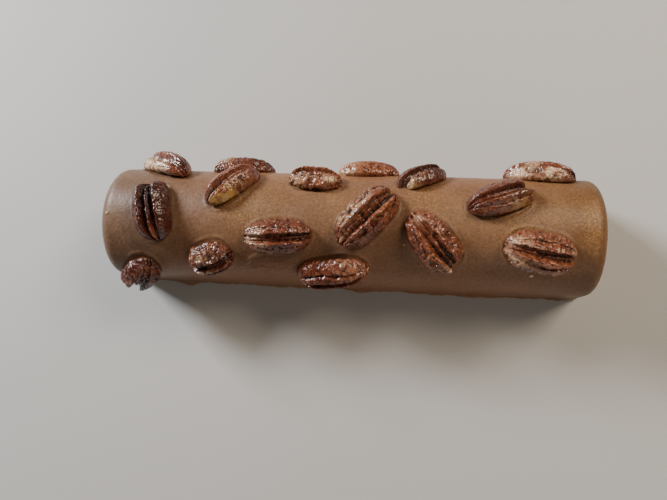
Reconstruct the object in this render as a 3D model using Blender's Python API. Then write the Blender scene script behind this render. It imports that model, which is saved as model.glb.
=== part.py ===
"""Carrot cake baked as a half-round log, coated in milk chocolate, with pecan halves pressed in.

Metres, +Z up. The origin is the middle of the flat base. +X runs along the log, and -Y is the
front. Sizes below are in millimetres, or in degrees where the comment says so.
"""

import math
from collections import namedtuple

import bmesh
import bpy
from mathutils import Matrix, Vector

MM = 0.001
SHARP_ANGLE = 50.0  # an edge that turns by more than this many degrees shows as a crease

# The log: upright walls under a half-round arch, drafted end faces, rounded end edges.
LENGTH = 240.0
HEIGHT = 50.0
ARCH_RADIUS = 27.4
WALL_HEIGHT = HEIGHT - ARCH_RADIUS
WALL_FLARE = 0.5  # how much further out a wall stands at the base than under the arch
END_LEAN = 4.9  # how far each end face leans in from the base to the top
LEFT_EDGE = 6.5  # rounding between the left end face and the arch
RIGHT_EDGE = 5.0
EDGE_STEPS = 4
STATION_STEP = 5.0
WALL_LEVELS = (0.0, 1.2, 2.8, 5.0, 11.0, 17.0)
ARCH_STEPS = 16

# The coat's foot, where chocolate ran down and set against the board. Each ripple along it is
# a sine wave: how far it goes in and out, and the length that it takes for one radian.
FOOT_OUT = 0.5
FOOT_HEIGHT = 4.2
FOOT_BULGE = 0.25  # where on a half sine wave the foot's profile starts at the base
RIPPLES = ((0.16, 4.1), (0.12, 2.3))
Drip = namedtuple("Drip", "x side out width")
DRIPS = (
    Drip(x=-86.0, side=-1, out=2.2, width=5.0),
    Drip(x=-30.0, side=-1, out=0.8, width=9.0),
    Drip(x=9.0, side=-1, out=1.2, width=6.0),
    Drip(x=46.0, side=-1, out=0.9, width=6.0),
    Drip(x=68.0, side=-1, out=0.9, width=12.0),
    Drip(x=-64.0, side=1, out=1.1, width=8.0),
    Drip(x=-12.0, side=1, out=0.8, width=11.0),
    Drip(x=38.0, side=1, out=1.3, width=6.0),
    Drip(x=83.0, side=1, out=0.9, width=9.0),
)

# Pecan halves, ridged side out. around is the angle from the top towards the front, and turn is
# the direction of the pointed end from +X, seen from outside, both in degrees. sink is how deep
# the flat side's middle lies in the coat.
Pecan = namedtuple("Pecan", "x around turn length width sink")
PECANS = (
    Pecan(x=-90.0, around=-65, turn=-36, length=34.0, width=17.2, sink=0.6),
    Pecan(x=-87.5, around=-2, turn=-76, length=28.8, width=17.8, sink=1.1),
    Pecan(x=-98.8, around=69, turn=53, length=27.4, width=17.9, sink=0.8),
    Pecan(x=-60.0, around=42, turn=18, length=22.2, width=17.3, sink=0.9),
    Pecan(x=-51.8, around=-33, turn=50, length=29.8, width=15.6, sink=1.0),
    Pecan(x=-51.5, around=-76, turn=16, length=31.5, width=15.5, sink=1.4),
    Pecan(x=-27.8, around=18, turn=-176, length=31.8, width=16.4, sink=1.0),
    Pecan(x=-13.0, around=-42, turn=-6, length=26.0, width=14.6, sink=1.0),
    Pecan(x=-3.0, around=53, turn=11, length=34.2, width=17.2, sink=1.0),
    Pecan(x=11.0, around=-73, turn=3, length=30.2, width=14.8, sink=1.5),
    Pecan(x=12.0, around=-2, turn=-132, length=33.8, width=18.6, sink=1.2),
    Pecan(x=36.5, around=-51, turn=37, length=26.2, width=13.6, sink=0.7),
    Pecan(x=41.8, around=18, turn=130, length=31.9, width=18.2, sink=1.1),
    Pecan(x=70.2, around=-24, turn=-157, length=30.6, width=16.0, sink=0.8),
    Pecan(x=90.8, around=-69, turn=165, length=32.0, width=15.6, sink=0.8),
    Pecan(x=86.5, around=23, turn=170, length=30.3, width=18.6, sink=1.0),
)
# The form of each pecan, seen from outside with the pointed end ahead, in shares of the half
# width: where the middle ridge runs, how far the valley round it reaches to the left and to the
# right, and how broad the ridge is. cleft is how far the ridge stops short of the blunt end and
# short how much shorter the right roll is there, in millimetres. Higher tip and blunt powers keep
# the pointed and the blunt end fuller.
Form = namedtuple("Form", "middle left right ridge cleft short tip blunt")
FORMS = (
    Form(middle=-0.36, left=0.22, right=0.18, ridge=0.13, cleft=0.8, short=0.0, tip=2.1, blunt=2.7),
    Form(middle=-0.06, left=0.38, right=0.30, ridge=0.12, cleft=2.5, short=0.5, tip=3.6, blunt=6.0),
    Form(middle=-0.05, left=0.25, right=0.27, ridge=0.18, cleft=3.0, short=0.0, tip=2.6, blunt=3.4),
    Form(middle=-0.15, left=0.20, right=0.24, ridge=0.15, cleft=1.0, short=0.0, tip=2.6, blunt=2.6),
    Form(middle=-0.14, left=0.29, right=0.25, ridge=0.20, cleft=0.8, short=0.0, tip=2.5, blunt=3.2),
    Form(middle=0.00, left=0.22, right=0.22, ridge=0.14, cleft=0.8, short=0.0, tip=2.3, blunt=2.8),
    Form(middle=0.06, left=0.21, right=0.23, ridge=0.15, cleft=2.0, short=0.0, tip=2.4, blunt=3.0),
    Form(middle=0.00, left=0.21, right=0.21, ridge=0.14, cleft=0.8, short=0.0, tip=2.3, blunt=2.8),
    Form(middle=-0.25, left=0.16, right=0.16, ridge=0.10, cleft=1.0, short=0.0, tip=2.6, blunt=3.0),
    Form(middle=0.00, left=0.22, right=0.22, ridge=0.14, cleft=0.8, short=0.0, tip=2.3, blunt=2.6),
    Form(middle=-0.08, left=0.33, right=0.20, ridge=0.15, cleft=2.5, short=0.0, tip=2.8, blunt=3.6),
    Form(middle=-0.12, left=0.21, right=0.25, ridge=0.15, cleft=1.5, short=3.5, tip=2.6, blunt=3.2),
    Form(middle=-0.08, left=0.27, right=0.24, ridge=0.14, cleft=3.5, short=2.2, tip=2.4, blunt=4.0),
    Form(middle=0.08, left=0.22, right=0.25, ridge=0.15, cleft=1.2, short=3.0, tip=2.3, blunt=3.4),
    Form(middle=0.38, left=0.17, right=0.20, ridge=0.11, cleft=0.8, short=0.0, tip=2.1, blunt=2.4),
    Form(middle=-0.04, left=0.21, right=0.21, ridge=0.15, cleft=1.5, short=0.0, tip=3.0, blunt=3.2),
)

# The form that all the pecans share: two rolls with a valley between them, and a ridge along the
# valley. Heights are shares of the thickness and places across are shares of the half width.
THICKNESS = 0.60  # as a share of the width
THICKNESS_FADE = 0.8  # the power by which the thickness follows the taper of an end
RIM_LEVEL = 0.27  # height of the widest line
DOME_POWER = 1.8  # 2 is a half ellipse, and less is more peaked
TIP_LIFT = 0.5  # how far the flat side rises at an end, as a share of the rim's height
CURL = 0.6  # how much of the log's roundness the flat side of a crosswise pecan follows
LEAST_CURL = 0.05  # the same on a pecan that lies along the log
ROLL_TAPER = 0.45  # the power by which the valley narrows with the ends, 1 for as fast as they do
VALLEY_DEPTH = 0.52
VALLEY_POWER = 4  # a higher power gives the valley steeper sides
RIDGE_BLUNT, RIDGE_POINTED = 0.7, 1.35  # the ridge's breadth at each end, over its own
RIDGE_LOW, RIDGE_HIGH = 0.20, 0.36  # the ridge's height in the valley at the blunt and pointed end
END_POWER = 5  # a higher power keeps the notches closer to the ends
NOTCH = 1.5  # how far each side of the valley cuts into an end, in millimetres
NOTCH_PLACE = 0.21
NOTCH_HALF = 0.09
CLEFT_HALF = 0.15
SHORT_POWER = 3  # a higher power keeps what a short roll lacks closer to its end
FIT_GAP = 0.35  # between a pecan and its pocket in the coat, in millimetres
# Where the rings of a pecan have their points: across the outer part of the ridged side, over the
# valley as shares of its reach, and back under the flat side.
OUTER = (0.97, 0.88, 0.70)
INNER = (1.4, 0.9, 0.5)
UNDER = (-0.72, 0.0, 0.72)
ALONG = (-0.985, -0.90, -0.74, -0.54, -0.30, 0.0, 0.30, 0.54, 0.74, 0.90, 0.985)


def clear_scene():
    for item in list(bpy.data.objects):
        bpy.data.objects.remove(item)


def material(name, colour, roughness):
    made = bpy.data.materials.new(name)
    made.use_nodes = True
    shader = made.node_tree.nodes["Principled BSDF"]
    shader.inputs["Base Color"].default_value = (*colour, 1.0)
    shader.inputs["Roughness"].default_value = roughness
    shader.inputs["Metallic"].default_value = 0.0
    return made


def add_object(name, bm, look):
    bmesh.ops.recalc_face_normals(bm, faces=bm.faces)
    mesh = bpy.data.meshes.new(name)
    bm.to_mesh(mesh)
    bm.free()
    mesh.shade_smooth()
    mesh.set_sharp_from_angle(angle=math.radians(SHARP_ANGLE))
    mesh.materials.append(look)
    made = bpy.data.objects.new(name, mesh)
    bpy.context.scene.collection.objects.link(made)
    return made


def ring_faces(bm, first, second):
    """Quads between two rings of as many vertices."""
    count = len(first)
    for i in range(count):
        j = (i + 1) % count
        bm.faces.new((first[i], first[j], second[j], second[i]))


# The log


def foot_out(x, side, z):
    """How far the foot of the coat stands out of the wall."""
    if z >= FOOT_HEIGHT:
        return 0.0
    drips = sum(
        drip.out * math.exp(-(((x - drip.x) / drip.width) ** 2))
        for drip in DRIPS
        if drip.side == side
    )
    ripple = sum(out * math.sin(x / length + side) for out, length in RIPPLES)
    bulge = math.sin(math.pi * (FOOT_BULGE + (1 - FOOT_BULGE) * z / FOOT_HEIGHT))
    return (FOOT_OUT + drips + ripple) * bulge


def section(x, inset):
    """Points of the cross-section from the front foot over the arch to the back foot. inset moves
    it in on all sides but the base."""
    radius = ARCH_RADIUS - inset

    def wall(side):
        for z in WALL_LEVELS:
            flare = WALL_FLARE * (1.0 - z / WALL_HEIGHT)
            yield side * (radius + flare + foot_out(x, side, z)), z

    points = list(wall(-1))
    for i in range(ARCH_STEPS + 1):
        turn = math.pi * i / ARCH_STEPS
        points.append((-radius * math.cos(turn), WALL_HEIGHT + radius * math.sin(turn)))
    points.extend(reversed(list(wall(1))))
    return points


def stations():
    """(x, inset) of each cross-section from the left end face to the right one."""
    half = LENGTH / 2
    turns = [math.pi / 2 * (i + 1) / EDGE_STEPS for i in range(EDGE_STEPS)]
    left = [(-half + LEFT_EDGE * (1 - math.sin(t)), LEFT_EDGE * (1 - math.cos(t))) for t in turns]
    right = [(half - RIGHT_EDGE * (1 - math.sin(t)), RIGHT_EDGE * (1 - math.cos(t))) for t in turns]
    first, last = -half + LEFT_EDGE, half - RIGHT_EDGE
    steps = round((last - first) / STATION_STEP)
    middle = [(first + (last - first) * i / steps, 0.0) for i in range(steps + 1)]
    return list(reversed(left)) + middle + right


def build_log(look):
    bm = bmesh.new()
    rings = []
    lean = END_LEAN / (LENGTH / 2) / HEIGHT
    for x, inset in stations():
        ring = [
            bm.verts.new(Vector((x * (1 - lean * z), y, z)) * MM) for y, z in section(x, inset)
        ]
        rings.append(ring)
    for first, second in zip(rings, rings[1:]):
        ring_faces(bm, first, second)
    for ring in (rings[0], rings[-1]):
        for i in range(len(ring) // 2 - 1):
            bm.faces.new((ring[i], ring[i + 1], ring[-2 - i], ring[-1 - i]))
        middle = len(ring) // 2
        bm.faces.new((ring[middle - 1], ring[middle], ring[middle + 1]))
    return add_object("cake", bm, look)


# The pecans


def bump(distance, half):
    """1 in the middle, falling off to nothing past about two halves."""
    return math.exp(-((distance / half) ** 2))


def end_taper(along, form):
    """Width at a place along the nut, as a share of the full one. +1 is the tip."""
    power = form.tip if along > 0 else form.blunt
    return (1.0 - abs(along) ** power) ** 0.5


def valley(along, place, form):
    """How deep the valley with its ridge is, as a share of the thickness. place is counted from
    the middle ridge."""
    reach = form.left if place > 0 else form.right
    depth = VALLEY_DEPTH * math.exp(-((abs(place) / reach) ** VALLEY_POWER))
    towards_tip = (along + 1) / 2
    broad = form.ridge * (RIDGE_BLUNT + (RIDGE_POINTED - RIDGE_BLUNT) * towards_tip)
    rise = RIDGE_LOW + (RIDGE_HIGH - RIDGE_LOW) * towards_tip
    return depth - rise * bump(place, broad)


def end_recess(along, place, form, carved):
    """How far the nut's end lies in, in millimetres."""
    to_right = min(max((NOTCH_PLACE - place) / (2 * NOTCH_PLACE), 0.0), 1.0)
    short = form.short * to_right * to_right * (3 - 2 * to_right) if along < 0 else 0.0
    recess = abs(along) ** SHORT_POWER * short
    if carved:
        cleft = form.cleft if along < 0 else 0.0
        notches = NOTCH * bump(abs(place) - NOTCH_PLACE, NOTCH_HALF) + cleft * bump(place, CLEFT_HALF)
        recess += abs(along) ** END_POWER * notches
    return recess


def places_across(form):
    """Places across the ridged side, from the right edge to the left one."""
    right = [-share for share in OUTER] + [form.middle - share * form.right for share in INNER]
    left = [form.middle + share * form.left for share in reversed(INNER)] + list(reversed(OUTER))
    return [-1.0, *right, form.middle, *left, 1.0]


def pecan_ring(nut, form, along, grow, carved):
    """Points of the cross-section at a place along the nut, in the nut's own axes. Without carved
    the rolls, valley and notches are left out."""
    taper = end_taper(along, form)
    thickness = THICKNESS * nut.width * taper**THICKNESS_FADE
    rim = RIM_LEVEL * thickness
    curl_radius = ARCH_RADIUS / (CURL * math.sin(math.radians(nut.turn)) ** 2 + LEAST_CURL)
    x = along * (nut.length / 2 + grow)
    rise = TIP_LIFT * RIM_LEVEL * THICKNESS * nut.width * (1 - taper)
    lift = rise - x * x / (2 * curl_radius)

    def point(across, height):
        place = (across - form.middle) * taper**ROLL_TAPER
        recess = math.copysign(end_recess(along, place, form, carved), along)
        return Vector((x - recess, across * (nut.width / 2 * taper + grow), height + lift))

    def ridged(across):
        dome = (1.0 - abs(across) ** DOME_POWER) ** (1 / DOME_POWER)
        height = rim + (thickness - rim) * dome + grow
        if carved:
            place = (across - form.middle) * taper**ROLL_TAPER
            height -= thickness * valley(along, place, form)
        return point(across, height)

    points = [ridged(across) for across in places_across(form)]
    points += [point(-across, -grow) for across in UNDER]
    return points


def placed(nut):
    """The matrix from the nut's own axes, in metres, to the log's."""
    on_arch = Matrix.Translation((0, 0, (ARCH_RADIUS - nut.sink) * MM))
    tilt = Matrix.Rotation(math.radians(nut.around), 4, "X")
    turn = Matrix.Rotation(math.radians(nut.turn), 4, "Z")
    axis = Matrix.Translation((nut.x * MM, 0, WALL_HEIGHT * MM))
    return axis @ tilt @ on_arch @ turn


def build_pecan(name, nut, form, look, grow=0.0, carved=True):
    bm = bmesh.new()
    rings = []
    for along in ALONG:
        ring = pecan_ring(nut, form, along, grow, carved)
        rings.append([bm.verts.new(point * MM) for point in ring])
    for first, second in zip(rings, rings[1:]):
        ring_faces(bm, first, second)
    for ring, along in ((rings[0], ALONG[0]), (rings[-1], ALONG[-1])):
        pole = sum((vert.co for vert in ring), Vector()) / len(ring)
        pole.x += (math.copysign(1.0, along) - along) * nut.length / 2 * MM
        end = bm.verts.new(pole)
        for i, vert in enumerate(ring):
            bm.faces.new((vert, ring[(i + 1) % len(ring)], end))
    made = add_object(name, bm, look)
    made.matrix_world = placed(nut)
    return made


def cut_pocket(cake, nut, form, number, look):
    """A hollow in the coat that the nut sits in."""
    cutter = build_pecan(f"pocket_cutter_{number:02d}", nut, form, look, FIT_GAP, carved=False)
    cutter.hide_render = True
    cutter.display_type = "WIRE"
    cut = cake.modifiers.new(f"pocket_{number:02d}", "BOOLEAN")
    cut.operation = "DIFFERENCE"
    cut.solver = "EXACT"
    cut.object = cutter


def main():
    clear_scene()
    coat = material("milk_chocolate", (0.20, 0.115, 0.068), 0.45)
    skin = material("pecan_skin", (0.15, 0.055, 0.03), 0.4)
    cake = build_log(coat)
    for number, (nut, form) in enumerate(zip(PECANS, FORMS), start=1):
        build_pecan(f"pecan_{number:02d}", nut, form, skin)
        cut_pocket(cake, nut, form, number, coat)


main()
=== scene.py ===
"""Looks for the carrot cake: milk chocolate coat dusted with gold, wrinkled glazed pecan halves.

Sizes are in millimetres until a mesh is made, in the frame's own axes: the origin is the middle of
the flat base, +X runs along the log, -Y is the front and +Z is up. Angles are in degrees.
"""

import itertools
import math
from collections import namedtuple

import bpy
import numpy as np
from mathutils import Matrix, Vector


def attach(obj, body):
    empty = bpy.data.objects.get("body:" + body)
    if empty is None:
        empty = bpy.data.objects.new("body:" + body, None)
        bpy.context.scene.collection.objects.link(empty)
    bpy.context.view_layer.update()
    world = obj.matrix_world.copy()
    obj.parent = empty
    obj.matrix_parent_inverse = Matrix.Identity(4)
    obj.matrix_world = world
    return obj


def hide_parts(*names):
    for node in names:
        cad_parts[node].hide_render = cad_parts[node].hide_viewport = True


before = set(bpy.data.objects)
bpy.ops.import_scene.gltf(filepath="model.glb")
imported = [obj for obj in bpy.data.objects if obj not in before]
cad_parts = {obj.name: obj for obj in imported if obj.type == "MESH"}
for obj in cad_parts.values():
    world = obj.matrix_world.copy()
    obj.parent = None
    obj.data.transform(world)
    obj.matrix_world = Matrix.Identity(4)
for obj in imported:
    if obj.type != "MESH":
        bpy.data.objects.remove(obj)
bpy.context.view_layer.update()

MM = 0.001

# The log, as the frame has it.
LENGTH = 240.0
HEIGHT = 50.0
ARCH_RADIUS = 27.4
WALL_HEIGHT = HEIGHT - ARCH_RADIUS
WALL_FLARE = 0.5
END_LEAN = 4.9
LEFT_EDGE, RIGHT_EDGE = 6.5, 5.0
FOOT_OUT = 0.5
FOOT_HEIGHT = 4.2
FOOT_BULGE = 0.25
RIPPLES = ((0.16, 4.1), (0.12, 2.3))
Drip = namedtuple("Drip", "x side out width")
DRIPS = (
    Drip(x=-86.0, side=-1, out=2.2, width=5.0),
    Drip(x=-30.0, side=-1, out=0.8, width=9.0),
    Drip(x=9.0, side=-1, out=1.2, width=6.0),
    Drip(x=46.0, side=-1, out=0.9, width=6.0),
    Drip(x=68.0, side=-1, out=0.9, width=12.0),
    Drip(x=-64.0, side=1, out=1.1, width=8.0),
    Drip(x=-12.0, side=1, out=0.8, width=11.0),
    Drip(x=38.0, side=1, out=1.3, width=6.0),
    Drip(x=83.0, side=1, out=0.9, width=9.0),
)

# The pecan halves' places, as the solids have them: around is the angle from the top towards the
# front, turn the direction of the pointed end from +X, and sink how deep the flat side lies.
Pecan = namedtuple("Pecan", "x around turn length width sink")
PECANS = (
    Pecan(x=-90.0, around=-65, turn=-36, length=34.0, width=17.2, sink=0.6),
    Pecan(x=-87.5, around=-2, turn=-76, length=28.8, width=17.8, sink=1.1),
    Pecan(x=-98.8, around=69, turn=53, length=27.4, width=17.9, sink=0.8),
    Pecan(x=-60.0, around=42, turn=18, length=22.2, width=17.3, sink=0.9),
    Pecan(x=-51.8, around=-33, turn=50, length=29.8, width=15.6, sink=1.0),
    Pecan(x=-51.5, around=-76, turn=16, length=31.5, width=15.5, sink=1.4),
    Pecan(x=-27.8, around=18, turn=-176, length=31.8, width=16.4, sink=1.0),
    Pecan(x=-13.0, around=-42, turn=-6, length=26.0, width=14.6, sink=1.0),
    Pecan(x=-3.0, around=53, turn=11, length=34.2, width=17.2, sink=1.0),
    Pecan(x=11.0, around=-73, turn=3, length=30.2, width=14.8, sink=1.5),
    Pecan(x=12.0, around=-2, turn=-132, length=33.8, width=18.6, sink=1.2),
    Pecan(x=36.5, around=-51, turn=37, length=26.2, width=13.6, sink=0.7),
    Pecan(x=41.8, around=18, turn=130, length=31.9, width=18.2, sink=1.1),
    Pecan(x=70.2, around=-24, turn=-157, length=30.6, width=16.0, sink=0.8),
    Pecan(x=90.8, around=-69, turn=165, length=32.0, width=15.6, sink=0.8),
    Pecan(x=86.5, around=23, turn=170, length=30.3, width=18.6, sink=1.0),
)
# The form of each pecan, seen from outside with the pointed end ahead, in shares of the half
# width: where the middle ridge runs, how far the valley round it reaches to the left and to the
# right, and how broad the ridge is. cleft is how far the ridge stops short of the blunt end and
# short how much shorter the right roll is there, in millimetres. Higher tip and blunt powers keep
# the pointed and the blunt end fuller.
Form = namedtuple("Form", "middle left right ridge cleft short tip blunt")
FORMS = (
    Form(middle=-0.36, left=0.22, right=0.18, ridge=0.13, cleft=0.8, short=0.0, tip=2.1, blunt=2.7),
    Form(middle=-0.06, left=0.38, right=0.30, ridge=0.12, cleft=2.5, short=0.5, tip=3.6, blunt=6.0),
    Form(middle=-0.05, left=0.25, right=0.27, ridge=0.18, cleft=3.0, short=0.0, tip=2.6, blunt=3.4),
    Form(middle=-0.15, left=0.20, right=0.24, ridge=0.15, cleft=1.0, short=0.0, tip=2.6, blunt=2.6),
    Form(middle=-0.14, left=0.29, right=0.25, ridge=0.20, cleft=0.8, short=0.0, tip=2.5, blunt=3.2),
    Form(middle=0.00, left=0.22, right=0.22, ridge=0.14, cleft=0.8, short=0.0, tip=2.3, blunt=2.8),
    Form(middle=0.06, left=0.21, right=0.23, ridge=0.15, cleft=2.0, short=0.0, tip=2.4, blunt=3.0),
    Form(middle=0.00, left=0.21, right=0.21, ridge=0.14, cleft=0.8, short=0.0, tip=2.3, blunt=2.8),
    Form(middle=-0.25, left=0.16, right=0.16, ridge=0.10, cleft=1.0, short=0.0, tip=2.6, blunt=3.0),
    Form(middle=0.00, left=0.22, right=0.22, ridge=0.14, cleft=0.8, short=0.0, tip=2.3, blunt=2.6),
    Form(middle=-0.08, left=0.33, right=0.20, ridge=0.15, cleft=2.5, short=0.0, tip=2.8, blunt=3.6),
    Form(middle=-0.12, left=0.21, right=0.25, ridge=0.15, cleft=1.5, short=3.5, tip=2.6, blunt=3.2),
    Form(middle=-0.08, left=0.27, right=0.24, ridge=0.14, cleft=3.5, short=2.2, tip=2.4, blunt=4.0),
    Form(middle=0.08, left=0.22, right=0.25, ridge=0.15, cleft=1.2, short=3.0, tip=2.3, blunt=3.4),
    Form(middle=0.38, left=0.17, right=0.20, ridge=0.11, cleft=0.8, short=0.0, tip=2.1, blunt=2.4),
    Form(middle=-0.04, left=0.21, right=0.21, ridge=0.15, cleft=1.5, short=0.0, tip=3.0, blunt=3.2),
)

# The skin of each pecan half. The splits are the depths of the lesser groove along each roll,
# wrinkle is how crinkled it is, and warm runs from 0, a near black skin, to 1, an orange one.
Look = namedtuple("Look", "left_split right_split wrinkle warm")
LOOKS = (
    Look(left_split=0.10, right_split=0.24, wrinkle=0.35, warm=0.48),
    Look(left_split=0.01, right_split=0.02, wrinkle=0.32, warm=0.12),
    Look(left_split=0.05, right_split=0.08, wrinkle=1.25, warm=0.22),
    Look(left_split=0.04, right_split=0.20, wrinkle=1.05, warm=0.38),
    Look(left_split=0.03, right_split=0.04, wrinkle=0.28, warm=0.46),
    Look(left_split=0.12, right_split=0.10, wrinkle=0.85, warm=0.34),
    Look(left_split=0.10, right_split=0.12, wrinkle=0.95, warm=0.46),
    Look(left_split=0.10, right_split=0.10, wrinkle=0.90, warm=0.68),
    Look(left_split=0.24, right_split=0.05, wrinkle=0.75, warm=0.50),
    Look(left_split=0.04, right_split=0.05, wrinkle=0.60, warm=0.76),
    Look(left_split=0.24, right_split=0.18, wrinkle=0.85, warm=0.56),
    Look(left_split=0.05, right_split=0.08, wrinkle=0.40, warm=0.28),
    Look(left_split=0.16, right_split=0.05, wrinkle=0.85, warm=0.62),
    Look(left_split=0.22, right_split=0.02, wrinkle=0.36, warm=0.30),
    Look(left_split=0.26, right_split=0.08, wrinkle=0.40, warm=0.45),
    Look(left_split=0.18, right_split=0.16, wrinkle=0.75, warm=0.64),
)
# Patches on the pecans: pale ones, some where the skin is rubbed off to the pale meat and some
# painted highlights and glints, as marked below; stained gold by the dust, on pecan 5 also painted
# light; warmer or darker than the rest; or more crinkled. along runs from -1, the blunt end, to 1,
# across from -1, the right edge, to 1, and reach is how far it reaches across, in millimetres.
Patch = namedtuple("Patch", "pecan kind along across reach strength")
PATCHES = (
    # On pecan 1 the pale flank is rubbed-off meat with a painted gloss over it.
    Patch(1, "pale", -0.45, -0.98, 2.0, 1.0),
    Patch(1, "pale", -0.05, -0.99, 2.2, 1.2),
    Patch(1, "pale", 0.35, -0.99, 2.2, 1.0),
    Patch(1, "pale", -0.40, 0.20, 1.6, 0.4),
    Patch(1, "warm", 0.90, 0.00, 5.0, -0.4),
    Patch(1, "crinkle", 0.00, -0.90, 5.0, 0.3),
    Patch(2, "warm", 0.97, 0.00, 2.5, 0.6),
    Patch(3, "warm", -0.50, 0.60, 4.0, 0.35),
    Patch(3, "warm", 0.70, 0.00, 2.5, 0.30),
    Patch(3, "warm", 0.00, -0.60, 5.0, -0.20),
    # Pecan 4's first pale patch is a painted sheen on its upper lobe.
    Patch(4, "pale", -0.10, 0.60, 3.0, 0.25),
    Patch(4, "pale", -0.30, -0.05, 1.2, 0.50),
    Patch(4, "pale", -0.20, -0.50, 1.8, 0.50),
    Patch(4, "warm", 0.90, 0.00, 4.0, -0.3),
    Patch(4, "crinkle", 0.20, 0.70, 4.0, 0.3),
    # Pecan 5's gold flank is dust stain, also painted lighter as light falling on that flank.
    Patch(5, "gold", -0.75, -0.80, 3.0, 0.75),
    Patch(5, "gold", -0.35, -0.90, 3.0, 0.65),
    Patch(5, "gold", 0.02, -0.95, 2.4, 0.5),
    Patch(5, "pale", -0.72, -0.50, 0.9, 1.0),
    Patch(5, "pale", -0.35, -0.50, 0.9, 0.6),
    Patch(5, "pale", -0.95, -0.15, 2.0, 0.4),
    Patch(5, "crinkle", 0.20, -0.75, 4.0, 0.5),
    # Pecan 6's pale patch is a painted highlight on its left end.
    Patch(6, "pale", -0.80, -0.30, 4.0, 0.5),
    Patch(6, "warm", 0.80, 0.00, 6.0, -0.4),
    # Pecan 7's pale patches are painted highlights on its left end.
    Patch(7, "pale", 0.85, 0.05, 3.0, 0.55),
    Patch(7, "pale", 0.60, -0.45, 2.5, 0.40),
    Patch(7, "pale", 0.40, 0.45, 1.5, 0.30),
    Patch(7, "crinkle", 0.00, -0.75, 5.0, 0.2),
    # Pecan 8's first pale patch is a painted glint.
    Patch(8, "pale", 0.62, -0.60, 1.4, 1.0),
    Patch(8, "pale", -0.60, -0.70, 4.0, 0.30),
    Patch(8, "crinkle", 0.00, -0.80, 6.0, 0.5),
    # Pecan 9's pale patch is a painted pinkish highlight on its upper lobe.
    Patch(9, "pale", 0.45, 0.75, 3.0, 0.12),
    Patch(9, "warm", 0.80, 0.40, 4.0, 0.40),
    Patch(9, "warm", -0.30, 0.20, 4.0, -0.15),
    Patch(10, "pale", -0.75, -0.80, 3.5, 0.45),
    Patch(10, "warm", 0.90, 0.00, 5.0, -0.5),
    # Pecan 11's pale patches are painted highlights on its upper-left lobe and ridge.
    Patch(11, "pale", 0.30, -0.75, 3.2, 0.60),
    Patch(11, "pale", -0.30, -0.60, 2.2, 0.35),
    Patch(11, "pale", 0.90, -0.15, 2.0, 0.4),
    Patch(11, "warm", -0.50, 0.45, 3.5, 0.45),
    Patch(11, "warm", 0.20, 0.95, 3.5, -0.25),
    Patch(11, "crinkle", 0.10, -0.80, 4.0, 0.3),
    Patch(12, "pale", -0.93, -0.75, 1.6, 1.3),
    Patch(12, "gold", -0.70, -0.95, 1.4, 0.9),
    Patch(12, "warm", 0.50, 0.00, 6.0, -0.2),
    Patch(13, "pale", -0.98, 0.35, 1.8, 1.8),
    # Pecan 13's next two pale patches are painted highlights on its left end.
    Patch(13, "pale", 0.85, -0.30, 1.8, 0.35),
    Patch(13, "pale", 0.80, 0.05, 1.2, 0.25),
    Patch(13, "warm", 0.10, 0.90, 3.5, -0.25),
    Patch(13, "warm", -0.30, 0.45, 4.0, 0.3),
    Patch(13, "crinkle", 0.00, 0.85, 4.5, 0.3),
    Patch(14, "gold", -0.55, 0.90, 2.6, 0.55),
    Patch(14, "pale", -0.20, 0.90, 2.5, 0.25),
    Patch(15, "pale", 0.50, 0.85, 2.8, 0.9),
    Patch(15, "pale", -0.35, 0.90, 2.8, 0.85),
    Patch(15, "pale", 0.20, 0.20, 1.5, 0.6),
    Patch(15, "warm", -0.97, -0.30, 3.0, -0.5),
    Patch(15, "crinkle", -0.30, 0.95, 4.5, 0.4),
    # Pecan 16's first two pale patches are painted highlights on its left end.
    Patch(16, "pale", 0.78, -0.55, 2.4, 0.65),
    Patch(16, "pale", 0.72, 0.60, 2.6, 0.50),
    Patch(16, "pale", 0.30, 0.85, 2.0, 0.2),
    Patch(16, "pale", -0.97, -0.60, 1.8, 0.6),
    Patch(16, "warm", -0.50, 0.60, 5.0, 0.2),
    Patch(16, "crinkle", 0.50, 0.80, 4.0, 0.4),
    Patch(16, "crinkle", 0.20, -0.85, 4.0, 0.4),
)
PATCH_LENGTH = 1.8  # a patch's reach along the pecan over its reach across

# The pecans' common form: see the solids.
THICKNESS = 0.60
THICKNESS_FADE = 0.8
RIM_LEVEL = 0.27
DOME_POWER = 1.8
TIP_LIFT = 0.5
CURL = 0.6
LEAST_CURL = 0.05
ROLL_TAPER = 0.45
VALLEY_DEPTH = 0.52
VALLEY_POWER = 4
RIDGE_BLUNT, RIDGE_POINTED = 0.7, 1.35
RIDGE_LOW, RIDGE_HIGH = 0.20, 0.36
END_POWER = 5
NOTCH = 1.5
NOTCH_PLACE = 0.21
NOTCH_HALF = 0.09
CLEFT_HALF = 0.15
SHORT_POWER = 3
# The lesser grooves along the rolls: where between the valley and the rim, and how wide.
SPLIT_SHARE = 0.45
SPLIT_HALF = 0.06

# Gold dust on the coat: where it lies thick, over the thin dusting on all that faces up.
Dust = namedtuple("Dust", "x around reach strength")
DUSTS = (
    Dust(x=-46.0, around=-8, reach=13, strength=0.9),
    Dust(x=-33.0, around=-2, reach=12, strength=0.4),
    Dust(x=0.0, around=-14, reach=10, strength=0.7),
    Dust(x=37.0, around=-24, reach=11, strength=0.9),
    Dust(x=55.0, around=-5, reach=14, strength=0.4),
    Dust(x=77.0, around=-3, reach=12, strength=1.0),
    Dust(x=93.0, around=-28, reach=15, strength=0.5),
    Dust(x=109.0, around=-12, reach=6, strength=1.0),
    Dust(x=109.0, around=8, reach=6, strength=0.9),
    Dust(x=-20.0, around=-45, reach=18, strength=0.5),
)

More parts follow.
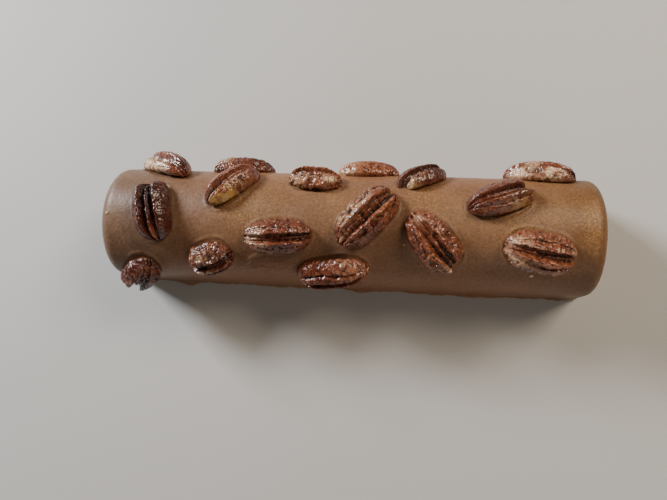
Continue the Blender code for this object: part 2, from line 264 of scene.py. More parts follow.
# Where chocolate was pushed up beside a pecan.
Lip = namedtuple("Lip", "x around reach height")
LIPS = (
    Lip(x=-53.0, around=-10, reach=5.0, height=0.7),
    Lip(x=-45.0, around=-11, reach=5.0, height=0.6),
    Lip(x=74.0, around=-8, reach=5.0, height=0.7),
    Lip(x=82.0, around=-14, reach=4.5, height=0.8),
    Lip(x=73.0, around=37, reach=3.5, height=0.6),
    Lip(x=78.0, around=43, reach=3.0, height=0.5),
    Lip(x=-100.5, around=-8, reach=6.0, height=0.6),
    Lip(x=-36.0, around=36, reach=4.0, height=0.3),
    Lip(x=26.0, around=26, reach=4.0, height=0.4),
)

# Creases in the coat: through is a run of (x, around) places.
Crease = namedtuple("Crease", "through height width")
CREASES = (
    Crease(((-43.2, 49), (-42.0, 44), (-39.8, 40), (-36.0, 37.5)), height=0.60, width=0.55),
    Crease(((-41.5, 57), (-37.0, 53), (-32.0, 56), (-28.0, 52)), height=0.22, width=0.9),
    Crease(((-37.0, 47), (-32.0, 49), (-27.5, 46), (-24.0, 49)), height=0.20, width=0.8),
    Crease(((-34.0, 60), (-29.0, 58), (-25.0, 54)), height=0.18, width=0.8),
    Crease(((-102.5, 26), (-101.0, 32), (-99.0, 38), (-96.5, 44)), height=0.22, width=1.0),
    Crease(((-106.0, 20), (-104.5, 28), (-103.5, 34)), height=0.12, width=1.3),
)

# Chips of nut meat that lie on the coat. size is their length in millimetres.
Chip = namedtuple("Chip", "x around size")
CHIPS = (
    Chip(x=85.3, around=49, size=1.5),
    Chip(x=29.1, around=22, size=1.1),
    Chip(x=-110.3, around=2, size=1.2),
)
CHIP_SHAPE = (0.5, 0.4, 0.3)  # half a chip's length, width and height over its size
CHIP_UNEVEN = 0.15  # how far a chip's corners stray, over its size


# Numbers that vary smoothly over space

CELLS = 256  # both kinds of pattern repeat after this many of their cells
NOISE_STEP, PEBBLE_STEP = 31.7, 17.3  # how many cells apart the patterns of two seeds lie
NOISE_GAIN = 1.6  # brings the noise up to about -1 to 1

_draw = np.random.default_rng(5)
SLOPES = _draw.normal(size=(CELLS, 3))
SLOPES /= np.linalg.norm(SLOPES, axis=1, keepdims=True)
SHUFFLE = _draw.permutation(CELLS)


def cell_number(cells):
    """A number under CELLS that belongs to each cell, given as whole numbers along the axes."""
    near = cells % CELLS
    return SHUFFLE[(SHUFFLE[(SHUFFLE[near[:, 0]] + near[:, 1]) % CELLS] + near[:, 2]) % CELLS]


def noise(points, size, seed=0):
    """Gradient noise from about -1 to 1, with bumps of that size, which may differ by axis."""
    place = points / np.asarray(size, float) + NOISE_STEP * seed
    cell = np.floor(place).astype(int)
    part = place - cell
    blend = part**3 * (part * (part * 6 - 15) + 10)
    total = np.zeros(len(points))
    for corner in itertools.product((0, 1), repeat=3):
        push = np.einsum("ij,ij->i", SLOPES[cell_number(cell + corner)], part - corner)
        total += push * np.prod(np.where(corner, blend, 1 - blend), axis=1)
    return NOISE_GAIN * total


def bump(distance, half):
    """1 in the middle, falling off to nothing past about two halves."""
    return np.exp(-((distance / half) ** 2))


def ramp(value, low, high):
    """0 up to low, 1 from high, and smooth between."""
    t = np.clip((value - low) / (high - low), 0, 1)
    return t * t * (3 - 2 * t)


# Meshes


def grid_faces(rows, columns, closed):
    """Quads between neighbouring rows of a grid of vertices, facing as grid_normals points. closed
    joins its last column to its first."""
    across = np.arange(columns if closed else columns - 1)
    beside = (across + 1) % columns
    row = np.arange(rows - 1)[:, None] * columns
    next_row = row + columns
    corners = (row + across, next_row + across, next_row + beside, row + beside)
    return np.stack(corners, axis=-1).reshape(-1, 4).tolist()


def grid_normals(grid, closed):
    """Unit normals of a grid of points, out of the solid where its rows follow each other along +X
    and its columns run over the top towards +Y."""
    if closed:
        across = np.roll(grid, -1, axis=1) - np.roll(grid, 1, axis=1)
    else:
        across = np.gradient(grid, axis=1)
    along = np.gradient(grid, axis=0)
    normals = np.cross(along, across)
    return normals / np.maximum(np.linalg.norm(normals, axis=-1, keepdims=True), 1e-9)


def add_piece(name, points, faces, look, values):
    """A mesh from points in millimetres, with one named number for each of them in values."""
    mesh = bpy.data.meshes.new(name)
    mesh.from_pydata((np.asarray(points) * MM).tolist(), [], faces)
    mesh.shade_smooth()
    mesh.materials.append(look)
    for key, numbers in values.items():
        layer = mesh.attributes.new(key, "FLOAT", "POINT")
        layer.data.foreach_set("value", np.asarray(numbers, np.float32).ravel())
    piece = bpy.data.objects.new(name, mesh)
    bpy.context.scene.collection.objects.link(piece)
    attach(piece, "root")
    return piece


# The coat


def unrolled(points):
    """Each point's place on the coat laid flat: x, and the way from the top down the front."""
    y, z = points[:, 1], points[:, 2] - WALL_HEIGHT
    arch = np.arctan2(-y, np.maximum(z, 0)) * ARCH_RADIUS
    return np.stack([points[:, 0], arch - np.sign(y) * np.maximum(-z, 0)], axis=1)


def flat_place(x, around):
    return np.array([x, math.radians(around) * ARCH_RADIUS])


def foot_out(x, side, z):
    """How far the foot of the coat stands out of the wall."""
    drips = sum(d.out * bump(x - d.x, d.width) for d in DRIPS if d.side == side)
    ripple = sum(out * np.sin(x / length + side) for out, length in RIPPLES)
    level = np.clip(z / FOOT_HEIGHT, 0, 1)
    bulge = np.sin(math.pi * (FOOT_BULGE + (1 - FOOT_BULGE) * level))
    return (FOOT_OUT + drips + ripple) * bulge


WALL_STEPS, ARCH_STEPS = 34, 136
WALL_CROWD = 1.3  # a higher power puts more of a wall's points near the foot
END_RINGS = 26
FIRST_SHARE = 0.02  # the size of the smallest ring on an end face, over the face's own
EDGE_STEPS = 16
STATION_STEP = 0.6


def section(x, inset):
    """Points (y, z) of the cross-section from the front foot over the arch to the back foot."""
    radius = ARCH_RADIUS - inset
    rise = WALL_HEIGHT * np.linspace(0, 1, WALL_STEPS, endpoint=False) ** WALL_CROWD

    def wall(side):
        out = radius + WALL_FLARE * (1 - rise / WALL_HEIGHT) + foot_out(x, side, rise)
        return np.stack([side * out, rise], axis=1)

    turn = np.linspace(0, math.pi, ARCH_STEPS + 1)
    arch = np.stack([-radius * np.cos(turn), WALL_HEIGHT + radius * np.sin(turn)], axis=1)
    return np.concatenate([wall(-1), arch, wall(1)[::-1]])


def stations():
    """(x, inset, share) of each ring. share under 1 draws the ring in over the end face."""
    half = LENGTH / 2
    turns = np.linspace(0, math.pi / 2, EDGE_STEPS + 1)[1:]
    shares = np.linspace(FIRST_SHARE, 1, END_RINGS, endpoint=False)
    left = [(-half + LEFT_EDGE * (1 - math.sin(t)), LEFT_EDGE * (1 - math.cos(t)), 1.0) for t in turns]
    right = [(half - RIGHT_EDGE * (1 - math.sin(t)), RIGHT_EDGE * (1 - math.cos(t)), 1.0) for t in turns]
    first, last = -half + LEFT_EDGE, half - RIGHT_EDGE
    middle = [(x, 0.0, 1.0) for x in np.linspace(first, last, round((last - first) / STATION_STEP))]
    left_face = [(-half, LEFT_EDGE, share) for share in shares]
    right_face = [(half, RIGHT_EDGE, share) for share in shares[::-1]]
    return left_face + left[::-1] + middle + right + right_face


def coat_grid():
    rings = []
    for x, inset, share in stations():
        points = section(x, inset) * share
        lean = 1 - END_LEAN / (LENGTH / 2) / HEIGHT * points[:, 1]
        rings.append(np.column_stack([x * lean, points]))
    return np.stack(rings)


def distance_to_run(places, run):
    """How far each place is from a line through the run's points."""
    nearest = np.full(len(places), np.inf)
    for start, end in zip(run, run[1:]):
        way = end - start
        share = np.clip((places - start) @ way / (way @ way), 0, 1)
        nearest = np.minimum(nearest, np.linalg.norm(places - start - share[:, None] * way, axis=1))
    return nearest


def pecan_matrix(nut):
    """From the pecan's own axes to the log's, in millimetres."""
    on_arch = Matrix.Translation((0, 0, ARCH_RADIUS - nut.sink))
    tilt = Matrix.Rotation(math.radians(nut.around), 4, "X")
    turn = Matrix.Rotation(math.radians(nut.turn), 4, "Z")
    return Matrix.Translation((nut.x, 0, WALL_HEIGHT)) @ tilt @ on_arch @ turn


def moved(points, matrix):
    matrix = np.array(matrix)
    return points @ matrix[:3, :3].T + matrix[:3, 3]


BESIDE = 9  # within how many millimetres above or below a pecan's flat side a place is beside it
FAR_OFF = 99.0


def from_pecan_edge(points, nut, form):
    """How far each point is outside the pecan's outline, in millimetres, as seen from above it."""
    own = moved(points, pecan_matrix(nut).inverted())
    power = np.where(own[:, 0] > 0, form.tip, form.blunt)
    reach = (np.abs(own[:, 0]) / (nut.length / 2)) ** power + (np.abs(own[:, 1]) / (nut.width / 2)) ** 2
    reach = np.maximum(reach, 1e-6) ** 0.5
    out = np.hypot(own[:, 0], own[:, 1]) * (1 - 1 / reach)
    return np.where(np.abs(own[:, 2]) < BESIDE, out, FAR_OFF)


# The coat's unevenness: how far in and out it goes, and how large its bumps are.
Wave = namedtuple("Wave", "height size seed")
COAT_WAVES = (Wave(0.16, 24.0, 1), Wave(0.05, 8.0, 2))
COLLAR_WAVES = (Wave(0.34, 6.0, 3),)
FOOT_WAVES = (Wave(0.32, (3.2, 9, 9), 4), Wave(0.14, (1.4, 9, 9), 5))
FOOT_FADE = 2  # how far above the foot its unevenness reaches
# The collar of chocolate round a pecan: its height, where its top is out of the pecan's edge and
# how wide it is.
COLLAR_HEIGHT = 0.28
COLLAR_PLACE = 0.3
COLLAR_HALF = 0.7


def uneven(points, waves):
    return sum(wave.height * noise(points, wave.size, wave.seed) for wave in waves)


def pushed_up(points, places):
    """The low collar of chocolate round each pecan, higher where a lip was pushed up."""
    height = np.zeros(len(points))
    strength = COLLAR_HEIGHT + uneven(points, COLLAR_WAVES)
    for lip in LIPS:
        away = np.linalg.norm(places - flat_place(lip.x, lip.around), axis=1)
        strength = strength + lip.height * bump(away, lip.reach)
    for nut, form in zip(PECANS, FORMS):
        out = from_pecan_edge(points, nut, form)
        height = np.maximum(height, strength * bump(out - COLLAR_PLACE, COLLAR_HALF))
    return height


def coat_relief(points, places):
    """How far the coat stands out of its plain form."""
    relief = uneven(points, COAT_WAVES)
    for crease in CREASES:
        run = np.array([flat_place(x, around) for x, around in crease.through])
        relief = relief + crease.height * bump(distance_to_run(places, run), crease.width)
    relief = relief + pushed_up(points, places)
    low = ramp(FOOT_HEIGHT + FOOT_FADE - points[:, 2], 0, FOOT_HEIGHT)
    return relief + low * uneven(points, FOOT_WAVES)


# The gold dust: how thick the thin dusting and the thick spots are, and between which two slopes,
# from 0 for upright to 1 for level, each comes in. The thin dusting also fades in along the log.
THIN_DUST, THICK_DUST = 0.05, 0.28
THIN_SLOPES, THICK_SLOPES = (0.35, 0.85), (0.2, 0.6)
THIN_ALONG = (-95, -55)


def dust_on(places, up):
    """How thick the gold dust lies, from 0 to 1."""
    thickness = THIN_DUST * ramp(up, *THIN_SLOPES) * ramp(places[:, 0], *THIN_ALONG)
    for dust in DUSTS:
        away = np.linalg.norm(places - flat_place(dust.x, dust.around), axis=1)
        spot = dust.strength * bump(away, dust.reach) * ramp(up, *THICK_SLOPES)
        thickness = thickness + THICK_DUST * spot
    return np.clip(thickness, 0, 1)


# Where the coat's colours change, as painted light and shade: down the side, counted from the top
# over the arch, where the low front side is painted lighter in place of light falling on it, and
# towards each end, counted from the middle, where painted shade makes the left end darker and
# cooler and the right end darker.
LOW_SIDE_PAINTED_LIGHT = (12, 34)
LEFT_PAINTED_SHADE = (55, 105)
RIGHT_PAINTED_SHADE = (75, 112)
SHARP_ANGLE = 60.0  # an edge that turns by more than this many degrees shows as a crease


def build_coat(look):
    grid = coat_grid()
    rows, columns = grid.shape[:2]
    normals = grid_normals(grid, closed=False).reshape(-1, 3)
    points = grid.reshape(-1, 3)
    places = unrolled(points)
    relief = coat_relief(points, places)
    at_base = points[:, 2] < 1e-6
    normals[at_base, 2] = 0
    moved_out = points + normals * relief[:, None]
    moved_out[:, 0] = np.clip(moved_out[:, 0], -LENGTH / 2, LENGTH / 2)
    faces = grid_faces(rows, columns, closed=False)
    numbers = np.arange(rows * columns).reshape(rows, columns)
    faces.append(numbers[0].tolist())
    faces.append(numbers[-1, ::-1].tolist())
    base = np.concatenate([numbers[:, -1], numbers[::-1, 0]])
    faces.append(base.tolist())
    values = {
        "dust": dust_on(places, normals[:, 2]),
        # low, left and right mark where painted light and painted shade go on the coat.
        "low": ramp(np.abs(places[:, 1]), *LOW_SIDE_PAINTED_LIGHT),
        "left": ramp(-points[:, 0], *LEFT_PAINTED_SHADE),
        "right": ramp(points[:, 0], *RIGHT_PAINTED_SHADE),
    }
    coat = add_piece("milk_chocolate_coat", moved_out, faces, look, values)
    coat.data.set_sharp_from_angle(angle=math.radians(SHARP_ANGLE))
    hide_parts("cake")
    return coat


# The pecans

ALONG_STEPS, TOP_STEPS, UNDER_STEPS = 142, 112, 14
LAST_RING = 0.975  # how near an end the last ring lies, 1 for on it
TOP_SPREAD = 1.3  # a higher angle puts more of the top's points near its edges
UNDER_POWER = 5  # a higher power keeps the flat side flat up to nearer its edges
WANDER, RAGGED = 0.04, 0.035  # how far the valley's sides stray, slowly and from step to step
# The middle ridge is kept out of the valley's painted shade, and a lesser groove gets painted shade for
# its depth.
RIDGE_CLEAR = 2.1  # how much lighter the middle ridge is kept than the valley round it
SPLIT_DARK = 2.5  # how dark a lesser groove is for its depth
SPLIT_WANDER = 0.08
SPLIT_LEAST, SPLIT_PITS = 0.65, 0.45  # how deep a lesser groove stays, and what its pits add
SEED_STEP = 1.37  # between the seeds of two pecans


def end_taper(along, form):
    power = np.where(along > 0, form.tip, form.blunt)
    return np.sqrt(np.maximum(1 - np.abs(along) ** power, 0))


def ridge_and_valley(along, place, form):
    """How deep the valley and how high the ridge in it are, as shares of the thickness."""
    half = np.where(place > 0, form.left, form.right)
    depth = np.exp(-((np.abs(place) / half) ** VALLEY_POWER))
    towards_tip = (along + 1) / 2
    broad = form.ridge * (RIDGE_BLUNT + (RIDGE_POINTED - RIDGE_BLUNT) * towards_tip)
    rise = RIDGE_LOW + (RIDGE_HIGH - RIDGE_LOW) * towards_tip
    return VALLEY_DEPTH * depth, rise * bump(place, broad)


def end_recess(along, place, form):
    """How far each roll's end lies in from the nut's end, in millimetres."""
    notches = NOTCH * bump(np.abs(place) - NOTCH_PLACE, NOTCH_HALF)
    cleft = np.where(along < 0, form.cleft, 0) * bump(place, CLEFT_HALF)
    short = np.where(along < 0, form.short, 0) * ramp(-place, -NOTCH_PLACE, NOTCH_PLACE)
    return np.abs(along) ** END_POWER * (notches + cleft) + np.abs(along) ** SHORT_POWER * short


def split_grooves(across, form, look, wander, broken):
    """The lesser groove along each roll, a chain of pits."""
    to_left = across > form.middle
    depth = np.where(to_left, look.left_split, look.right_split)
    edge = np.where(to_left, form.middle + form.left, form.right - form.middle)
    place = np.abs(across) - edge - SPLIT_SHARE * (1 - edge) - SPLIT_WANDER * wander
    return depth * bump(place, SPLIT_HALF) * (SPLIT_LEAST + SPLIT_PITS * broken)


def pecan_points(nut, form, look, seed):
    """The pecan's skin in its own axes: points in rings along it, and for each how far it is sunk
    in a groove, from 0 to 1, which also sets the painted shade in the grooves, and its places along
    and across."""
    along = np.sin(math.pi / 2 * np.linspace(-LAST_RING, LAST_RING, ALONG_STEPS))[:, None]
    top = np.sin(TOP_SPREAD * np.linspace(-1, 1, TOP_STEPS)) / math.sin(TOP_SPREAD)
    under = np.linspace(1, -1, UNDER_STEPS + 2)[1:-1]
    across = np.concatenate([top, under])[None, :]
    taper = end_taper(along, form)
    thickness = THICKNESS * nut.width * taper**THICKNESS_FADE
    rim = RIM_LEVEL * thickness
    x = along * nut.length / 2 + 0 * across
    y = across * nut.width / 2 * taper

    flat = np.stack([x, y, 0 * x], axis=-1).reshape(-1, 3)
    slow = noise(flat, 14.0, seed).reshape(x.shape)
    wander = noise(flat, (7.0, 40.0, 9.0), seed + 0.3).reshape(x.shape)
    ragged = noise(flat, (2.8, 5.0, 5.0), seed + 0.5).reshape(x.shape)
    broken = noise(flat, (2.6, 8.0, 8.0), seed + 0.6).reshape(x.shape)
    strayed = WANDER * (wander + slow) + RAGGED * ragged
    place = (across - form.middle - strayed) * taper**ROLL_TAPER
    depth, ridge = ridge_and_valley(along, place, form)
    split = split_grooves(across, form, look, slow + wander, broken)
    dome = (1 - np.abs(across) ** DOME_POWER) ** (1 / DOME_POWER)
    ridged = rim + (thickness - rim) * dome - thickness * (depth - ridge + split)

    curl_radius = ARCH_RADIUS / (CURL * math.sin(math.radians(nut.turn)) ** 2 + LEAST_CURL)
    lift = TIP_LIFT * RIM_LEVEL * THICKNESS * nut.width * (1 - taper) - x**2 / (2 * curl_radius)
    on_top = np.arange(across.size)[None, :] < TOP_STEPS
    z = np.where(on_top, ridged, rim * np.abs(across) ** UNDER_POWER) + lift
    recessed = x - np.sign(along) * end_recess(along, place, form)
    groove = (depth - RIDGE_CLEAR * ridge) / VALLEY_DEPTH + SPLIT_DARK * split
    sunk = np.where(on_top, groove, 0)
    points = np.stack([recessed, y, z], axis=-1)
    return points, np.clip(sunk, 0, 1), along + 0 * across, across + 0 * along


PEBBLE_STRAY = 0.55  # how far a lump lies from the middle of its cell, in cells


def pebbles(points, size, seed):
    """0 in the middle of each rounded lump up to about 1 in the creases between them, for lumps of
    that size, which may differ by axis."""
    place = points / np.asarray(size, float) + PEBBLE_STEP * seed
    cell = np.floor(place).astype(int)
    nearest = np.full(len(points), np.inf)
    for step in itertools.product((-1, 0, 1), repeat=3):
        middle = cell + step + 0.5 + PEBBLE_STRAY * SLOPES[cell_number(cell + step)]
        nearest = np.minimum(nearest, ((place - middle) ** 2).sum(axis=1))
    return np.clip(nearest, 0, 1)


LEVEL = 0.15  # how far out the skin lies where it has no crinkles, in millimetres
# Each kind of crinkle: its size along the pecan, across it and upwards, and how deep it goes.
FOLD_SIZE, FOLD_DEPTH = (2.7, 7.0, 7.0), 0.50
LUMP_SIZE, LUMP_DEPTH = (2.8, 3.6, 3.6), 0.45
COARSE_SIZE, COARSE_DEPTH = (1.5, 2.2, 2.2), 0.60
FINE_SIZE = (0.8, 1.1, 1.1)
# What there is of a thing where wrinkle is 0, and how much more of it where wrinkle is 1.
CRUMPLED = (0.12, 0.88)
FINE_DEPTH = (0.14, 0.28)
FURROW_SHADE = (0.3, 0.7)
PATCHY_SIZE = 8.0  # of the stretches with more and with fewer crinkles
BEND, BEND_SIZE = 0.9, 3.0  # how far the crinkles wander, and over what length
RELIEF_HEIGHTS = (-1.0, 1.5)  # between these two the relief goes from faint to full
FAINT = 0.3
RAISED = (0.22, -0.18)  # from the first of these depths to the second the skin counts as high


def with_wrinkle(pair, wrinkle):
    """The amount for a wrinkle, from the pair of numbers for it."""
    plain_share, added = pair
    return plain_share + added * wrinkle


def skin_relief(points, across, sunk, wrinkle, seed):
    """Crinkles and lumps of the skin: how far each point lies in, or out where that is below 0, in
    millimetres, and how much painted shade the furrows among them get, from 0 to 1."""
    stray = [noise(points, BEND_SIZE, seed + part) for part in (0.1, 0.2, 0.3)]
    bent = points + BEND * np.stack(stray, axis=1)
    patchy = 0.35 + 0.65 * ramp(noise(points, PATCHY_SIZE, seed + 0.9), -0.4, 0.3)
    flank = 0.45 + 0.55 * ramp(np.abs(across), 0.30, 0.70)
    open_skin = 1 - 0.75 * sunk
    folds = bump(noise(bent, FOLD_SIZE, seed + 0.2), 0.20) * flank * patchy
    lump = noise(bent, LUMP_SIZE, seed + 0.7)
    coarse = pebbles(bent, COARSE_SIZE, seed)
    fine = pebbles(bent, FINE_SIZE, seed + 0.5)
    crumple = FOLD_DEPTH * folds + LUMP_DEPTH * lump + COARSE_DEPTH * coarse * patchy
    crumple = with_wrinkle(CRUMPLED, wrinkle) * crumple
    depth = (crumple + with_wrinkle(FINE_DEPTH, wrinkle) * fine) * open_skin
    furrow_shade = 0.6 * folds + 0.8 * ramp(coarse, 0.25, 0.75) + 0.3 * fine
    return depth - LEVEL, np.clip(with_wrinkle(FURROW_SHADE, wrinkle) * furrow_shade, 0, 1)


def patch_values(number, along, across, nut):
    """The strength of each kind of patch at each place of the pecan."""
    sums = {kind: 0 * along for kind in ("pale", "gold", "warm", "crinkle")}
    for patch in PATCHES:
        if patch.pecan == number:
            away = np.hypot(
                (along - patch.along) * nut.length / 2 / PATCH_LENGTH,
                (across - patch.across) * nut.width / 2,
            )
            sums[patch.kind] = sums[patch.kind] + patch.strength * bump(away, patch.reach)
    return sums


def build_pecan(number, nut, form, look, skin):
    seed = number * SEED_STEP
    grid, sunk, along, across = pecan_points(nut, form, look, seed)
    rows, columns = grid.shape[:2]
    normals = grid_normals(grid, closed=True).reshape(-1, 3)
    points, sunk, along, across = grid.reshape(-1, 3), sunk.ravel(), along.ravel(), across.ravel()
    patches = patch_values(number, along, across, nut)
    wrinkle = look.wrinkle + patches["crinkle"]
    depth, furrow_shade = skin_relief(points, across, sunk, wrinkle, seed)
    share = FAINT + (1 - FAINT) * ramp(points[:, 2], *RELIEF_HEIGHTS)
    points = points - normals * (depth * share)[:, None]

    ends = [points[:columns].mean(axis=0), points[-columns:].mean(axis=0)]
    faces = grid_faces(rows, columns, closed=True)
    first_pole, last_pole = len(points), len(points) + 1
    last_row = (rows - 1) * columns
    for i in range(columns):
        j = (i + 1) % columns
        faces.append((first_pole, i, j))
        faces.append((last_row + j, last_row + i, last_pole))
    points = np.concatenate([points, ends])

    values = {
        "sunk": sunk,
        "furrow_shade": furrow_shade,
        # high marks the crests, which are painted paler as worn skin and as a painted highlight.
        "high": ramp(depth, *RAISED),
        "pale": np.clip(patches["pale"], 0, 1),
        "gold": np.clip(patches["gold"], 0, 1),
        "warm": np.clip(look.warm + patches["warm"], 0, 1),
    }
    values = {key: np.append(value, [value[0], value[-1]]) for key, value in values.items()}
    name = f"pecan_half_{number:02d}"
    piece = add_piece(name, moved(points, pecan_matrix(nut)), faces, skin, values)
    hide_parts(f"pecan_{number:02d}")
    return piece


def build_chips(skin):
    """All the chips in one mesh, each an uneven block that lies on the coat."""
    block = np.array(list(itertools.product((-1, 1), repeat=3))) * CHIP_SHAPE
    sides = ((0, 1, 3, 2), (4, 6, 7, 5), (0, 4, 5, 1), (2, 3, 7, 6), (0, 2, 6, 4), (1, 5, 7, 3))
    points, faces = [], []
    for number, chip in enumerate(CHIPS):
        tilt = Matrix.Rotation(math.radians(chip.around), 4, "X")
        on_arch = Matrix.Translation((0, 0, ARCH_RADIUS))
        place = Matrix.Translation((chip.x, 0, WALL_HEIGHT)) @ tilt @ on_arch
        first = len(block) * number
        rough = block + CHIP_UNEVEN * SLOPES[first : first + len(block)]
        faces.extend(tuple(corner + len(points) for corner in side) for side in sides)
        points.extend(moved(rough * chip.size, place))
    values = {"sunk": 0.0, "furrow_shade": 0.0, "high": 1.0, "pale": 1.0, "gold": 0.0, "warm": 0.7}
    values = {key: np.full(len(points), value) for key, value in values.items()}
    chips = add_piece("nut_chips", points, faces, skin, values)
    chips.data.shade_flat()
    return chips


# Materials


class Nodes:
    """A material's node tree, with short calls for what the two looks share."""

    def __init__(self, name):
        self.material = bpy.data.materials.new(name)
        self.material.use_nodes = True
        self.tree = self.material.node_tree
        self.shader = self.tree.nodes["Principled BSDF"]
        place = self.tree.nodes.new("ShaderNodeTexCoord")
        self.place = place.outputs["Object"]

    def link(self, value, socket):
        if isinstance(value, bpy.types.NodeSocket):
            self.tree.links.new(value, socket)
        elif isinstance(value, tuple):
            socket.default_value = (*value, 1.0)
        else:
            socket.default_value = value

    def value(self, name):
        node = self.tree.nodes.new("ShaderNodeAttribute")
        node.attribute_name = name
        return node.outputs["Fac"]

    def noise(self, size_mm, detail=2.0, roughness=0.5, distortion=0.0):
        node = self.tree.nodes.new("ShaderNodeTexNoise")
        node.inputs["Scale"].default_value = 1.0 / (size_mm * MM)
        node.inputs["Detail"].default_value = detail
        node.inputs["Roughness"].default_value = roughness
        node.inputs["Distortion"].default_value = distortion
        self.tree.links.new(self.place, node.inputs["Vector"])
        return node.outputs["Fac"]

    def math(self, operation, first, second=0.0):
        node = self.tree.nodes.new("ShaderNodeMath")
        node.operation = operation
        self.link(first, node.inputs[0])
        self.link(second, node.inputs[1])
        return node.outputs[0]

    def between(self, value, low, high, to_low=0.0, to_high=1.0):
        """value from low to high becomes to_low to to_high, clamped."""
        node = self.tree.nodes.new("ShaderNodeMapRange")
        node.interpolation_type = "SMOOTHSTEP"
        self.link(value, node.inputs["Value"])
        sockets = ("From Min", "From Max", "To Min", "To Max")
        for socket, number in zip(sockets, (low, high, to_low, to_high)):
            node.inputs[socket].default_value = number
        return node.outputs["Result"]

    def mix(self, share, first, second):
        node = self.tree.nodes.new("ShaderNodeMix")
        node.data_type = "RGBA"
        colours = [socket for socket in node.inputs if socket.type == "RGBA"]
        self.link(share, node.inputs["Factor"])
        self.link(first, colours[0])
        self.link(second, colours[1])
        return [socket for socket in node.outputs if socket.type == "RGBA"][0]

    def bumps(self, height, distance_mm, strength=1.0, under=None):
        node = self.tree.nodes.new("ShaderNodeBump")
        node.inputs["Distance"].default_value = distance_mm * MM
        node.inputs["Strength"].default_value = strength
        self.link(height, node.inputs["Height"])
        if under is not None:
            self.tree.links.new(under, node.inputs["Normal"])
        return node.outputs["Normal"]

    def finish(self, colour, roughness, normal, constants):
        self.link(colour, self.shader.inputs["Base Color"])
        self.link(roughness, self.shader.inputs["Roughness"])
        self.tree.links.new(normal, self.shader.inputs["Normal"])
        for name, number in constants.items():
            self.shader.inputs[name].default_value = number
        return self.material


MILK = (0.162, 0.082, 0.047)
MILK_LOW_PAINTED_LIGHT = (0.240, 0.110, 0.054)
MILK_LEFT_PAINTED_SHADE = (0.145, 0.086, 0.055)
MILK_RIGHT_PAINTED_SHADE = (0.135, 0.062, 0.024)
BLOOM = (0.280, 0.155, 0.085)
COCOA = (0.100, 0.044, 0.019)
GOLD = (0.560, 0.300, 0.070)


def chocolate():
    n = Nodes("milk chocolate with gold dust")
    broad = n.noise(14.0, detail=3.0)
    grain = n.noise(1.3, detail=3.0, roughness=0.75)
    speck = n.noise(0.7, detail=2.0, roughness=0.7)
    dust = n.value("dust")
    # Painted light: the low front side is painted lighter; painted shade: the left end darker and
    # cooler, the right end darker.
    colour = n.mix(n.value("low"), MILK, MILK_LOW_PAINTED_LIGHT)
    colour = n.mix(n.value("left"), colour, MILK_LEFT_PAINTED_SHADE)
    colour = n.mix(n.value("right"), colour, MILK_RIGHT_PAINTED_SHADE)
    colour = n.mix(n.between(broad, 0.42, 0.72, 0.0, 0.25), colour, BLOOM)
    colour = n.mix(n.between(grain, 0.50, 0.34, 0.0, 0.55), colour, COCOA)
    colour = n.mix(n.between(grain, 0.52, 0.68, 0.0, 0.40), colour, BLOOM)
    grainy = n.math("MULTIPLY", dust, n.between(speck, 0.46, 0.66, 0.10, 1.3))
    colour = n.mix(grainy, colour, GOLD)
    roughness = n.between(broad, 0.3, 0.7, 0.38, 0.48)
    normal = n.bumps(n.noise(5.0, detail=3.0), 0.12, 0.6)
    normal = n.bumps(grain, 0.16, 0.8, under=normal)
    return n.finish(colour, roughness, normal, {"Specular IOR Level": 0.32})


DARK_SKIN_AND_SHADE = (0.030, 0.006, 0.004)
SKIN_BROWN = (0.075, 0.018, 0.009)
SKIN_RED = (0.155, 0.042, 0.022)
SKIN_WARM = (0.340, 0.115, 0.042)
GROOVE_SHADE = (0.008, 0.0022, 0.0015)
WORN_AND_HIGHLIGHT = (0.540, 0.235, 0.145)
MEAT_AND_HIGHLIGHT = (0.740, 0.500, 0.300)
STAIN = (0.380, 0.210, 0.055)


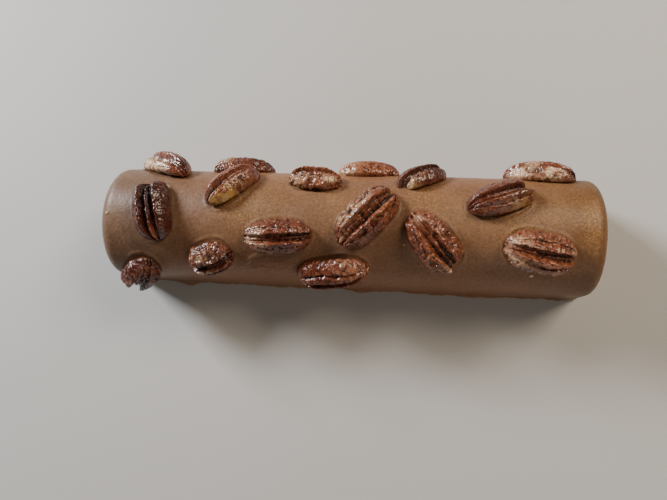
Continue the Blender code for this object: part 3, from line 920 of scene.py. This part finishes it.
def pecan_skin():
    n = Nodes("glazed pecan skin")
    blotch = n.noise(3.4, detail=4.0, roughness=0.6)
    speck = n.noise(0.8, detail=3.0, roughness=0.7)
    grain = n.noise(0.45, detail=2.0, roughness=0.7)
    warm = n.value("warm")
    colour = n.mix(n.between(warm, 0.0, 0.5), DARK_SKIN_AND_SHADE, SKIN_RED)
    colour = n.mix(n.between(warm, 0.4, 1.0, 0.0, 0.75), colour, SKIN_WARM)
    colour = n.mix(n.between(blotch, 0.50, 0.72, 0.0, 0.4), colour, SKIN_WARM)
    # Crests painted paler: worn skin, and a painted highlight.
    worn_and_highlight = n.math("MULTIPLY", n.value("high"), n.between(speck, 0.48, 0.64, 0.0, 0.70))
    worn_and_highlight = n.math("MULTIPLY", worn_and_highlight, n.between(warm, 0.1, 0.6, 0.05, 1.0))
    colour = n.mix(worn_and_highlight, colour, WORN_AND_HIGHLIGHT)
    colour = n.mix(n.between(speck, 0.50, 0.36, 0.0, 0.70), colour, SKIN_BROWN)
    # Pale patches: rubbed-off meat on some pecans, painted highlights and glints on others.
    pale = n.math("MULTIPLY", n.value("pale"), n.between(blotch, 0.38, 0.54, 0.15, 1.3))
    colour = n.mix(pale, colour, MEAT_AND_HIGHLIGHT)
    # Gold patches: dust stain, on pecan 5 also painted light.
    gold = n.math("MULTIPLY", n.value("gold"), n.between(blotch, 0.42, 0.54, 0.1, 1.2))
    colour = n.mix(gold, colour, STAIN)
    furrow_shade = n.value("furrow_shade")
    sunk = n.value("sunk")
    colour = n.mix(n.between(grain, 0.50, 0.36, 0.0, 0.4), colour, SKIN_BROWN)
    # Painted shade in the furrows of the crinkles.
    colour = n.mix(n.between(furrow_shade, 0.25, 0.85, 0.0, 0.65), colour, DARK_SKIN_AND_SHADE)
    # Painted shade in the valley and the lesser grooves, the deeper the darker.
    colour = n.mix(n.between(sunk, 0.20, 0.75), colour, GROOVE_SHADE)
    normal = n.bumps(speck, 0.18, 0.5)
    normal = n.bumps(grain, 0.08, 0.4, under=normal)
    roughness = n.between(speck, 0.3, 0.7, 0.14, 0.23)
    return n.finish(colour, roughness, normal, {"Specular IOR Level": 0.6})


# The studio


def plain(name, colour, roughness):
    made = bpy.data.materials.new(name)
    made.use_nodes = True
    shader = made.node_tree.nodes["Principled BSDF"]
    shader.inputs["Base Color"].default_value = (*colour, 1.0)
    shader.inputs["Roughness"].default_value = roughness
    return made


FLOOR_REACH = 3.0  # from its middle to each side, in metres
FLOOR_GAP = 0.0002  # between the floor and the cake's base, in metres
FLOOR_GREY = (0.50, 0.50, 0.49)
# The lights, which all face the cake: places and sizes in metres, powers in watts.
Light = namedtuple("Light", "name place size power colour")
LIGHTS = (
    Light("window", (-0.85, 0.50, 0.55), 0.30, 20.0, (0.98, 0.98, 1.0)),
    Light("lamp", (0.50, 0.38, 0.62), 0.34, 5.5, (1.0, 0.82, 0.62)),
    Light("fill", (0.50, -0.90, 0.55), 0.90, 3.0, (1.0, 0.88, 0.74)),
)
ROOM_COLOUR, ROOM_STRENGTH = (1.0, 0.94, 0.88), 0.08


def floor():
    mesh = bpy.data.meshes.new("floor")
    reach = FLOOR_REACH
    corners = [(-reach, -reach, 0), (reach, -reach, 0), (reach, reach, 0), (-reach, reach, 0)]
    mesh.from_pydata(corners, [], [(0, 1, 2, 3)])
    mesh.materials.append(plain("pale floor", FLOOR_GREY, 0.7))
    made = bpy.data.objects.new("floor", mesh)
    made.location.z = -FLOOR_GAP
    bpy.context.scene.collection.objects.link(made)


def soft_light(light):
    """A square light that faces the cake."""
    lamp = bpy.data.lights.new(light.name, "AREA")
    lamp.size = light.size
    lamp.energy = light.power
    lamp.color = light.colour
    made = bpy.data.objects.new(light.name, lamp)
    made.location = light.place
    made.rotation_euler = (-Vector(light.place)).to_track_quat("-Z", "Y").to_euler()
    bpy.context.scene.collection.objects.link(made)


def studio():
    floor()
    for light in LIGHTS:
        soft_light(light)
    world = bpy.data.worlds.new("room")
    world.use_nodes = True
    back = world.node_tree.nodes["Background"]
    back.inputs["Color"].default_value = (*ROOM_COLOUR, 1.0)
    back.inputs["Strength"].default_value = ROOM_STRENGTH
    bpy.context.scene.world = world


# The camera, as it stood over the real cake. Its place is in millimetres, and its focal length
# in pixels of a frame 667 wide.
CAMERA_PLACE = Vector((23.23, -44.87, 268.36))
CAMERA_RIGHT = Vector((0.99272, 0.05729, -0.10592))
CAMERA_UP = Vector((-0.04172, 0.98873, 0.14375))
FOCAL_PIXELS = 500.0
FRAME_WIDTH = 667.0
SENSOR = 36.0


def camera():
    lens = bpy.data.cameras.new("camera")
    lens.sensor_width = SENSOR
    lens.lens = FOCAL_PIXELS * SENSOR / FRAME_WIDTH
    lens.clip_start = 0.01
    made = bpy.data.objects.new("camera", lens)
    turned = Matrix((CAMERA_RIGHT, CAMERA_UP, CAMERA_RIGHT.cross(CAMERA_UP))).transposed()
    made.matrix_world = Matrix.Translation(CAMERA_PLACE * MM) @ turned.to_4x4()
    bpy.context.scene.collection.objects.link(made)
    bpy.context.scene.camera = made


camera()
studio()
build_coat(chocolate())
skin = pecan_skin()
for number, (nut, form, look) in enumerate(zip(PECANS, FORMS, LOOKS), start=1):
    build_pecan(number, nut, form, look, skin)
build_chips(skin)
